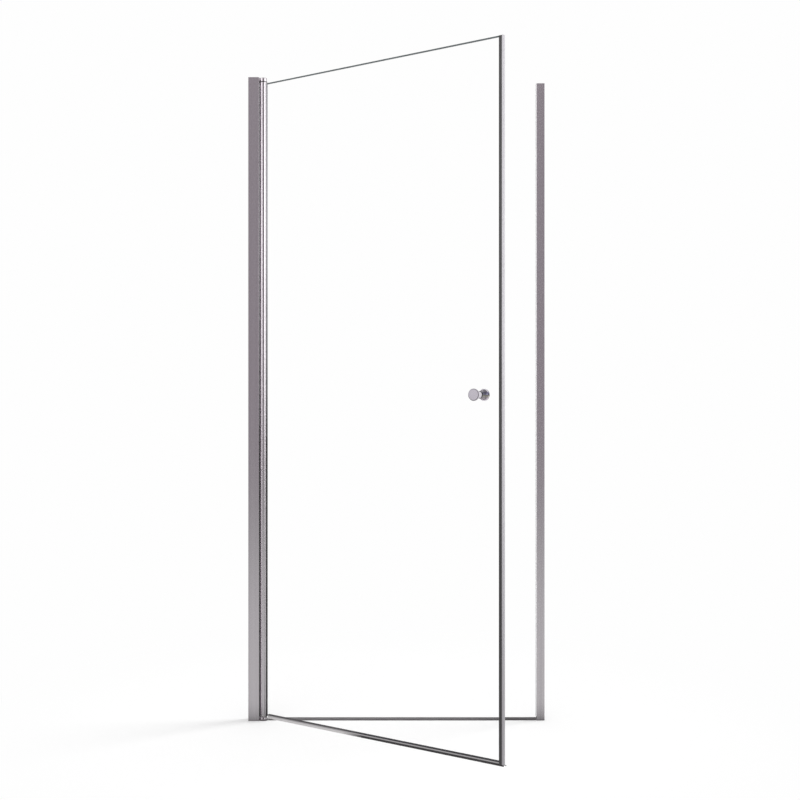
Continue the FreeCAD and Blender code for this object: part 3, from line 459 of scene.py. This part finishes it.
def makeKnob(name, node, side, finish):
    # turned from bar: a straight neck on the washer, a hollow flare and a rim with a nearly flat face
    neck, radius, top, bevel = knob["neck"], knob["radius"], knob["length"], knob["neckBevel"]
    flareEnd = top - knob["rim"]
    outline = [(0, 0), (neck - bevel, 0), (neck, bevel), (neck, knob["neckLength"])]
    outline += hollowFlare(neck, radius, knob["neckLength"], flareEnd, 18)
    outline += roundedOutline([(radius, flareEnd, 0), (radius, top - knob["dome"], knob["rimRound"]),
                               (0, top, 0)], 6)[1:-1]
    for step in range(7):
        share = (1 - step / 6) * knob["domeShare"]
        outline.append((radius * share, top - knob["dome"] * share ** 2))
    finishPiece(name, turnedMesh(outline, knob["turns"]), finish, "door", node,
                onGlass(side, knob["base"]))


def makeKnobWashers():
    # two moulded rubber rings between the knobs and the glass
    made = bmesh.new()
    outer, inner, thick, bevel = knob["neck"], knob["stud"], knob["washer"], knob["washerBevel"]
    outline = [(inner, 0.0), (outer - bevel, 0.0), (outer, bevel), (outer, thick - bevel), (outer - bevel, thick),
               (inner, thick), (inner, 0.0)]
    for side in (-1, 1):
        turnedMesh(outline, knob["turns"], made, onGlass(side, knob["base"] - thick))
    finishPiece("knobWashersMoulded", made, rubber, "door", "knob_washers")


makeKnob("knobOuterTurned", "knob_outer", -1, knobChrome)
makeKnob("knobInnerTurned", "knob_inner", 1, innerChrome)
makeKnobWashers()
print("knobs made")


pivotFoot = {"base": 0.015, "neck": 0.0103, "height": 0.0125, "edge": 0.0015, "round": 0.0004, "turns": 96}
# the head's joint values place a painted shade at its foot, above the tube
pivotHead = {"radius": 0.0103, "height": 0.0125, "round": 0.0005, "blockHeight": 0.025, "turns": 96,
             "joint": 0.0025, "jointFade": 0.0004, "jointPaintedShade": "#7E7A7E"}
# both have a block inside the post and a flat neck to it: half their widths, how far inside the post's face
# they end, and how much their edges are softened
pivotBlock = {"half": 0.0123, "inside": 0.0017, "soft": 0.0004}
pivotNeck = {"half": 0.007, "inside": 0.0019, "fromPivot": 0.006, "soft": 0.0002}


def cutBehindPost(made):
    # takes away what would lie inside the post and closes the cut
    bmesh.ops.bisect_plane(made, geom=made.verts[:] + made.edges[:] + made.faces[:], plane_co=(postFace, 0, 0),
                           plane_no=(-1, 0, 0), clear_outer=True)
    rim = [edge for edge in made.edges if edge.is_boundary and
           all(abs(vertex.co.x - postFace) < 1e-6 for vertex in edge.verts)]
    bmesh.ops.holes_fill(made, edges=rim, sides=0)


def addBlockAndNeck(made, back, blockHeights, neckHeights):
    # the heights are (lowest, highest); back is where the block ends inside the post
    half, right = pivotBlock["half"], postFace - pivotBlock["inside"]
    boxMesh((back, -half, blockHeights[0]), (right, half, blockHeights[1]), made, pivotBlock["soft"])
    half, left, right = pivotNeck["half"], postFace - pivotNeck["inside"], pivot.x - pivotNeck["fromPivot"]
    boxMesh((left, -half, neckHeights[0]), (right, half, neckHeights[1]), made, pivotNeck["soft"])


def makePivotFoot():
    # a cast foot that flares to the floor in one hollow curve and stops flat against the post
    base, neck, top, soft = pivotFoot["base"], pivotFoot["neck"], pivotFoot["height"], pivotFoot["round"]
    outline = [(0, 0), (base - soft, 0), (base, soft)] + hollowFlare(neck, base, top, pivotFoot["edge"], 12)[::-1]
    outline += [(neck, top - soft), (neck - soft, top), (0, top)]
    made = turnedMesh(outline, pivotFoot["turns"], shift=Matrix.Translation(pivot))
    cutBehindPost(made)
    low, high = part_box("bottom_pivot_bracket")
    addBlockAndNeck(made, low.x, (0, high.z), (0, top))
    finishPiece("pivotFootCast", made, footFinish, "frame", "bottom_pivot_bracket")


def makePivotHead():
    # a cast head: a drum as thick as the leaf's tube, with softened rims, on a neck that enters the post
    low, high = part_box("top_pivot_bracket")
    radius, top, soft = pivotHead["radius"], high.z, pivotHead["round"]
    bottom = top - pivotHead["height"]
    outline = roundedOutline([(0, bottom, 0), (radius, bottom, soft), (radius, top, soft), (0, top, 0)], 5)
    made = turnedMesh(outline, pivotHead["turns"], shift=Matrix.Translation(pivot))
    addBlockAndNeck(made, low.x, (low.z, low.z + pivotHead["blockHeight"]), (bottom, top))
    # Aluminium, cast and bright anodised like the posts: its foot is painted dark, as shade in the joint above the
    # tube
    joint = bottom + pivotHead["joint"]
    headFinish = makeAluminium("anodisedAluminiumHead", {
        **anodisedLook, "paintedSideShade": pivotHead["jointPaintedShade"], "sideAt": -1.0, "sideFront": 1.0,
        "sideFrom": joint + pivotHead["jointFade"], "sideTo": joint}, 2)
    finishPiece("pivotHeadCast", made, headFinish, "frame", "top_pivot_bracket")


makePivotFoot()
makePivotHead()
print("pivot brackets made")


sill = {
    "shoulder": 0.0035, "frontRound": 0.0006, "slopeStart": 0.0008, "slopeEase": 0.002,
    "crestStart": 0.0055, "crestEase": 0.001, "crestSoft": 0.003, "crestRound": 0.0008, "backEase": 0.002,
    "grooves": (-0.0026, 0.0002, 0.003), "grooveWidth": 0.0009, "grooveDepth": 0.0004, "grooveFloor": 0.6,
}


def sillProfile(low, high, tape=None):
    # the section (y, z): a short front, a grooved slope up to the crest, and a straight back
    slopeStart = low.y + sill["slopeStart"]
    slope = (high.z - sill["shoulder"]) / (sill["crestStart"] - slopeStart)

    def onSlope(y):
        return sill["shoulder"] + slope * (y - slopeStart)

    ease = low.y + sill["slopeEase"]
    points = roundedOutline([(low.y, 0, 0), (low.y, sill["shoulder"], sill["frontRound"]), (ease, onSlope(ease), 0)],
                            4)
    half, depth = sill["grooveWidth"] / 2, sill["grooveDepth"]
    floor = half * sill["grooveFloor"]
    for place in sill["grooves"]:
        for across, drop in ((-half, 0), (-floor, depth), (floor, depth), (half, 0)):
            points.append(Vector((place + across, onSlope(place + across) - drop)))
    ease, back = sill["crestStart"] - sill["crestEase"], high.y - sill["backEase"]
    points += roundedOutline([(ease, onSlope(ease), 0), (sill["crestStart"], high.z, sill["crestSoft"]),
                              (back, high.z, 0)], 4)
    points += roundedOutline([(back, high.z, 0), (high.y, high.z, sill["crestRound"]), (high.y, 0, 0)], 5)[1:]
    if tape:  # the underside leaves room for the tape
        front, behind = tape
        points += [Vector(corner) for corner in ((behind.y, 0), (behind.y, behind.z), (front.y, behind.z),
                                                 (front.y, 0))]
    return points


def extrudeAlong(points, start, end, made=None):
    # draws a (y, z) section along X
    made = made or bmesh.new()
    ends = [[made.verts.new((x, y, z)) for y, z in points] for x in (start, end)]
    made.faces.new(ends[0])
    made.faces.new(ends[1][::-1])
    for index in range(len(points)):
        following = (index + 1) % len(points)
        made.faces.new([ends[0][following], ends[0][index], ends[1][index], ends[1][following]])
    return made


def makeSill():
    low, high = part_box("sill")
    plugLow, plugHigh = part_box("sill_end_plugs")
    made = extrudeAlong(sillProfile(low, high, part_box("sill_tape")), low.x, high.x)
    finishPiece("sillExtruded", made, etched, "frame", "sill")
    plugs = extrudeAlong(sillProfile(low, high), plugLow.x, low.x)
    extrudeAlong(sillProfile(low, high), high.x, plugHigh.x, plugs)
    finishPiece("sillPlugsMoulded", plugs, mouldedAbs, "frame", "sill_end_plugs")


makeSill()
print("sill made")


screw = {
    "head": 0.0038, "headHeight": 0.0022, "underBevel": 0.0002, "rimAt": 0.55, "rimRound": 0.0004,
    "crownAt": (0.72, 0.93), "crownRound": 0.001,  # rimAt and crownAt are shares of the head's size
    "shank": 0.002, "core": 0.0015, "length": 0.009, "tip": 0.0006, "tipLength": 0.0003,
    "pitch": 0.0014, "flank": 0.3, "firstTurn": 0.0016, "lastTurn": 0.6, "neck": 0.0004, "intoHead": 0.0001,
    "slot": 0.0011, "reach": 0.0024, "recess": 0.0014, "recessFloor": 0.55, "past": 0.001,  # the cross recess
    "turned": 25, "turnedOn": 40,  # how far the first one is screwed in, and each next one further, in degrees
}
cover = {"radius": 0.006, "height": 0.0034, "rimBevel": 0.0002, "round": 0.0014, "wall": 0.0009}


def screwMesh():
    # a pan head self-tapping screw with a coarse thread and a cross recess; its head points along +Z
    head, tall = screw["head"], screw["headHeight"]
    across, up = screw["crownAt"]
    dome = roundedOutline([(0.0, 0.0, 0), (head, 0.0, screw["underBevel"]),
                           (head, tall * screw["rimAt"], screw["rimRound"]),
                           (head * across, tall * up, screw["crownRound"]), (0.0, tall, 0)], 4)
    made = turnedMesh(dome, 48)
    core, pitch, end = screw["core"], screw["pitch"], -screw["length"]
    shank = [(0.0, end), (screw["tip"], end + screw["tipLength"])]
    along = end + screw["firstTurn"]
    while along < -pitch * screw["lastTurn"]:
        shank += [(core, along - pitch * screw["flank"]), (screw["shank"], along),
                  (core, along + pitch * screw["flank"])]
        along += pitch
    shank += [(core, -screw["neck"]), (screw["shank"], screw["intoHead"]), (0.0, screw["intoHead"])]
    turnedMesh(shank, 32, made)
    body = bpy.data.meshes.new("screwBlank")
    made.to_mesh(body)
    made.free()
    cutter = bmesh.new()
    for crossed in (False, True):
        low = [-screw["reach"], -screw["slot"] / 2, tall - screw["recess"]]
        high = [screw["reach"], screw["slot"] / 2, tall + screw["past"]]
        if crossed:
            low[0], low[1], high[0], high[1] = low[1], low[0], high[1], high[0]
        boxMesh(low, high, cutter)
    for vertex in cutter.verts:
        if vertex.co.z < tall:
            vertex.co.x *= screw["recessFloor"]
            vertex.co.y *= screw["recessFloor"]
    blade = bpy.data.meshes.new("recessBlade")
    cutter.to_mesh(blade)
    cutter.free()
    blank, tool = bpy.data.objects.new("screwBlank", body), bpy.data.objects.new("recessBlade", blade)
    for thing in (blank, tool):
        bpy.context.scene.collection.objects.link(thing)
    cut = blank.modifiers.new("recess", "BOOLEAN")
    cut.object, cut.operation, cut.solver, cut.use_self = tool, "DIFFERENCE", "EXACT", True
    bpy.context.view_layer.update()
    result = bpy.data.meshes.new_from_object(blank.evaluated_get(bpy.context.evaluated_depsgraph_get()))
    for thing in (blank, tool):
        bpy.data.objects.remove(thing)
    return result


def coverMesh(made, shift):
    # a thin domed cap
    radius, tall, wall = cover["radius"], cover["height"], cover["wall"]
    outline = roundedOutline([(radius - wall, 0, 0), (radius, 0, cover["rimBevel"]), (radius, tall, cover["round"]),
                              (0, tall, 0)], 6)
    outline += [Vector((0, tall - wall)), Vector((radius - wall, tall - wall)), Vector((radius - wall, 0))]
    turnedMesh(outline, 64, made, shift)


def alongBack(node, count):
    # the (x, z) of a node's screws or covers, one above the other on a face that looks into the shower
    low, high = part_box(node)
    middle, radius = (low.x + high.x) / 2, (high.x - low.x) / 2
    apart = (high.z - low.z - 2 * radius) / (count - 1)
    return [(middle, low.z + radius + apart * index) for index in range(count)]


intoShower = Matrix.Rotation(math.radians(-90), 4, "X")
oneScrew = screwMesh()
for name, node, count in (("hingeFixingScrews", "hinge_fixing_screws", 3), ("bracketScrews", "bracket_screws", 2),
                          ("closingFixingScrews", "closing_fixing_screws", 3)):
    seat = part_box(node)[1].y - screw["headHeight"]
    made = bmesh.new()
    for index, (x, z) in enumerate(alongBack(node, count)):
        turned = Matrix.Rotation(math.radians(screw["turned"] + screw["turnedOn"] * index), 4, "Z")
        copy = oneScrew.copy()
        copy.transform(Matrix.Translation((x, seat, z)) @ (intoShower @ turned))
        made.from_mesh(copy)
        bpy.data.meshes.remove(copy)
    finishPiece(name, made, steel, "frame", node)
for name, node in (("hingeScrewCovers", "hinge_screw_covers"), ("closingScrewCovers", "closing_screw_covers")):
    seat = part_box(node)[0].y
    made = bmesh.new()
    for x, z in alongBack(node, 3):
        coverMesh(made, Matrix.Translation((x, seat, z)) @ intoShower)
    finishPiece(name, made, chrome, "frame", node)
print("screws and covers made")


studio = {
    "plainWhite": "#FEFEFE", "floorColour": "#FDFDFD", "floorHalf": 30.0, "floorDrop": 0.0004,
    "plainNear": 0.2, "fadeStart": 0.55, "fadeEnd": 1.3,  # how the floor turns into the plain background
    "mirroredNear": 0.47, "mirroredFar": 0.262, "nearEnd": 1.5, "farStart": 7.4,  # what metal shows of the floor
    "paintedContactShadow": 0.1, "contactStart": 0.014, "contactReach": 0.2, "contactEase": 0.45,  # the painted shadow strip at its foot
    "cardColour": "#958F94", "cardMiddle": "#3A383A", "middleHalf": 0.8, "middleFade": 0.15,
    "cardLeft": -6.1, "cardRight": 4.0, "cardTop": 5.0, "cardAway": 7.0,
    "worldFill": 0.78,  # the background's strength as a light
    "sky": ((0.0, 0.8), (0.08, 0.85), (0.17, 1.05), (0.26, 0.8), (0.42, 0.5), (0.6, 0.32), (1.0, 0.25)),
    "skyBehind": 0.8, "behindFrom": -0.2, "behindTo": 0.4,
    "skyBeside": 2.0, "besideFrom": 0.5, "besideTo": 0.75, "aheadFrom": 0.05, "aheadTo": -0.1,
}


def flatMesh(name, corners, material):
    # one flat face of the studio, which is no part of the door
    mesh = bpy.data.meshes.new(name)
    mesh.from_pydata(corners, [], [list(range(len(corners)))])
    mesh.materials.append(material)
    piece = bpy.data.objects.new(name, mesh)
    bpy.context.scene.collection.objects.link(piece)
    return piece


def sortRays(tree):
    # a sharp ray comes off or through the pane, which shows the plain white that the camera sees; the other
    # mirrored rays come off metal
    path = addNode(tree, "ShaderNodeLightPath").outputs
    through = addNode(tree, "ShaderNodeMath", {"operation": "MAXIMUM"},
                      {0: path["Is Singular Ray"], 1: path["Is Transmission Ray"]}).outputs[0]
    plain = addNode(tree, "ShaderNodeMath", {"operation": "MAXIMUM"},
                    {0: path["Is Camera Ray"], 1: through}).outputs[0]
    notThrough = addNode(tree, "ShaderNodeMath", {"operation": "SUBTRACT", 0: 1.0}, {1: through}).outputs[0]
    offMetal = addNode(tree, "ShaderNodeMath", {"operation": "MULTIPLY"},
                       {0: path["Is Glossy Ray"], 1: notThrough}).outputs[0]
    return plain, offMetal


def makeFloor():
    # painted board: a pale matt floor. Beyond the door's surroundings it is the plain white of the background.
    material = bpy.data.materials.new("paintedBoardFloor")
    tree = emptyTree(material)
    place = addNode(tree, "ShaderNodeNewGeometry").outputs["Position"]
    plainRays, offMetal = sortRays(tree)
    away = addNode(tree, "ShaderNodeVectorMath", {"operation": "LENGTH"}, {0: place}).outputs["Value"]
    board = addNode(tree, "ShaderNodeBsdfDiffuse", {"Color": linear(studio["floorColour"])})
    plain = addNode(tree, "ShaderNodeEmission", {"Color": linear(studio["plainWhite"]), "Strength": 1.0})
    fade = addNode(tree, "ShaderNodeMapRange", {"From Min": studio["fadeStart"], "From Max": studio["fadeEnd"],
                                                "To Min": studio["plainNear"],
                                                "interpolation_type": "SMOOTHSTEP"}, {"Value": away})
    seen = addNode(tree, "ShaderNodeMath", {"operation": "MULTIPLY"}, {0: fade.outputs[0], 1: plainRays})
    shown = addNode(tree, "ShaderNodeMixShader", links={0: seen.outputs[0], 1: board.outputs[0],
                                                        2: plain.outputs[0]})
    # what the metal shows of the floor: a painted shadow right at its foot, where the door shades it, and darker far
    # away
    depth = addNode(tree, "ShaderNodeSeparateXYZ", links={0: place}).outputs["Y"]
    across = addNode(tree, "ShaderNodeMath", {"operation": "ABSOLUTE"}, {0: depth}).outputs[0]
    far = addNode(tree, "ShaderNodeMapRange", {"From Min": studio["nearEnd"], "From Max": studio["farStart"],
                                               "To Min": studio["mirroredNear"], "To Max": studio["mirroredFar"]},
                  {"Value": across})
    near = addNode(tree, "ShaderNodeMapRange", {"From Min": studio["contactStart"],
                                                "From Max": studio["contactStart"] + studio["contactReach"]},
                   {"Value": across})
    eased = addNode(tree, "ShaderNodeMath", {"operation": "POWER", 1: studio["contactEase"]},
                    {0: near.outputs[0]})
    foot = addNode(tree, "ShaderNodeMapRange", {"To Min": studio["paintedContactShadow"], "To Max": studio["mirroredNear"]},
                   {"Value": eased.outputs[0]})
    level = addNode(tree, "ShaderNodeMath", {"operation": "MINIMUM"}, {0: far.outputs[0], 1: foot.outputs[0]})
    mirrored = addNode(tree, "ShaderNodeEmission", {"Color": [1, 1, 1, 1]}, {"Strength": level.outputs[0]})
    both = addNode(tree, "ShaderNodeMixShader", links={0: offMetal, 1: shown.outputs[0], 2: mirrored.outputs[0]})
    addNode(tree, "ShaderNodeOutputMaterial", links={"Surface": both.outputs[0]})
    half, low = studio["floorHalf"], -studio["floorDrop"]
    flatMesh("studioFloor", [(-half, -half, low), (half, -half, low), (half, half, low), (-half, half, low)],
             material)


def makeCard():
    # matt grey card behind the camera, seen only in the metal: it gives the upright faces their mid grey, and its
    # darker middle gives the round ones a dark line
    material = bpy.data.materials.new("greyCardMatt")
    tree = emptyTree(material)
    place = addNode(tree, "ShaderNodeNewGeometry").outputs["Position"]
    side = addNode(tree, "ShaderNodeSeparateXYZ", links={0: place}).outputs["X"]
    across = addNode(tree, "ShaderNodeMath", {"operation": "ABSOLUTE"}, {0: side}).outputs[0]
    middle = addNode(tree, "ShaderNodeMapRange", {"From Min": studio["middleHalf"] - studio["middleFade"],
                                                  "From Max": studio["middleHalf"] + studio["middleFade"]},
                     {"Value": across})
    tone = addNode(tree, "ShaderNodeMix", {"data_type": "RGBA", 6: linear(studio["cardMiddle"]),
                                           7: linear(studio["cardColour"])}, {0: middle.outputs[0]})
    path = addNode(tree, "ShaderNodeLightPath").outputs  # the pane mirrors it as plain white
    shown = addNode(tree, "ShaderNodeMix", {"data_type": "RGBA", 7: linear(studio["plainWhite"])},
                    {0: path["Is Singular Ray"], 6: tone.outputs[2]})
    glow = addNode(tree, "ShaderNodeEmission", {"Strength": 1.0}, {"Color": shown.outputs[2]})
    addNode(tree, "ShaderNodeOutputMaterial", links={"Surface": glow.outputs[0]})
    left, right, top, away = studio["cardLeft"], studio["cardRight"], studio["cardTop"], -studio["cardAway"]
    card = flatMesh("greyCard", [(left, away, 0), (right, away, 0), (right, away, top), (left, away, top)],
                    material)
    card.visible_camera = card.visible_diffuse = card.visible_transmission = card.visible_shadow = False


def makeWorld():
    # white for the eye and through the glass, softer as a light, and for the metal a room with a dark ceiling
    world = bpy.data.worlds.new("paleStudio")
    bpy.context.scene.world = world
    tree = emptyTree(world)
    plainRays, offMetal = sortRays(tree)
    toward = addNode(tree, "ShaderNodeTexCoord").outputs["Generated"]
    parts = addNode(tree, "ShaderNodeSeparateXYZ", links={0: toward}).outputs
    room = addNode(tree, "ShaderNodeValToRGB", links={"Fac": parts["Z"]})
    fillRamp(room, [(place, (level, level, level, 1)) for place, level in studio["sky"]])
    # the room is dimmer on the shower's side of the door, and bright to the left and right on the near side
    behind = addNode(tree, "ShaderNodeMapRange", {"From Min": studio["behindFrom"], "From Max": studio["behindTo"],
                                                  "To Min": 1.0, "To Max": studio["skyBehind"]},
                     {"Value": parts["Y"]})
    sideways = addNode(tree, "ShaderNodeMath", {"operation": "ABSOLUTE"}, {0: parts["X"]})
    beside = addNode(tree, "ShaderNodeMapRange", {"From Min": studio["besideFrom"], "From Max": studio["besideTo"],
                                                  "To Min": 1.0, "To Max": studio["skyBeside"]},
                     {"Value": sideways.outputs[0]})
    ahead = addNode(tree, "ShaderNodeMapRange", {"From Min": studio["aheadFrom"], "From Max": studio["aheadTo"]},
                    {"Value": parts["Y"]})
    besideAhead = addNode(tree, "ShaderNodeMix", {"data_type": "FLOAT", 2: 1.0},
                          {0: ahead.outputs[0], 3: beside.outputs[0]})
    around = addNode(tree, "ShaderNodeMath", {"operation": "MULTIPLY"},
                     {0: behind.outputs[0], 1: besideAhead.outputs[0]})
    lit = addNode(tree, "ShaderNodeMath", {"operation": "MULTIPLY"}, {0: room.outputs[0], 1: around.outputs[0]})
    direct = addNode(tree, "ShaderNodeMapRange", {"To Min": studio["worldFill"], "To Max": 1.0},
                     {"Value": plainRays})
    strength = addNode(tree, "ShaderNodeMix", {"data_type": "FLOAT"},
                       {0: offMetal, 2: direct.outputs[0], 3: lit.outputs[0]})
    sky = addNode(tree, "ShaderNodeBackground", {"Color": linear(studio["plainWhite"])},
                  {"Strength": strength.outputs[0]})
    addNode(tree, "ShaderNodeOutputWorld", links={"Surface": sky.outputs[0]})


lamps = {
    "sideLamp": {"kind": "SUN", "at": (5.0, 1.7, 3.2), "aim": (0, 0, 0), "angle": math.radians(28), "energy": 1.5},
    "frontLamp": {"kind": "AREA", "at": (-1.6, -4.2, 2.8), "aim": (0, 0, 1.0), "shape": "RECTANGLE", "size": 2.6,
                  "size_y": 2.6, "energy": 10.0},
}


def makeLamps():
    # soft daylight from the right and a large panel at the front left; neither shows in the glass or the metal
    for name, lamp in lamps.items():
        data = bpy.data.lights.new(name, lamp["kind"])
        for key, value in lamp.items():
            if key not in ("kind", "at", "aim"):
                setattr(data, key, value)
        thing = bpy.data.objects.new(name, data)
        bpy.context.scene.collection.objects.link(thing)
        thing.location = lamp["at"]
        thing.rotation_euler = (Vector(lamp["aim"]) - Vector(lamp["at"])).to_track_quat("-Z", "Y").to_euler()
        thing.visible_glossy = thing.visible_camera = thing.visible_transmission = False


makeFloor()
makeCard()
makeWorld()
makeLamps()
print("studio made")

view = {"at": (0.0105, -3.379, 0.9721), "tilt": 90, "lens": 50.0, "sensor": 36.0, "far": 100.0}
camera = bpy.data.objects.new("photoCamera", bpy.data.cameras.new("photoCamera"))
bpy.context.scene.collection.objects.link(camera)
camera.location = view["at"]
camera.rotation_euler = (math.radians(view["tilt"]), 0, 0)
camera.data.lens = view["lens"]
camera.data.sensor_width = view["sensor"]
camera.data.clip_end = view["far"]
bpy.context.scene.camera = camera
bpy.context.scene.view_settings.view_transform = "Standard"
print("camera set")
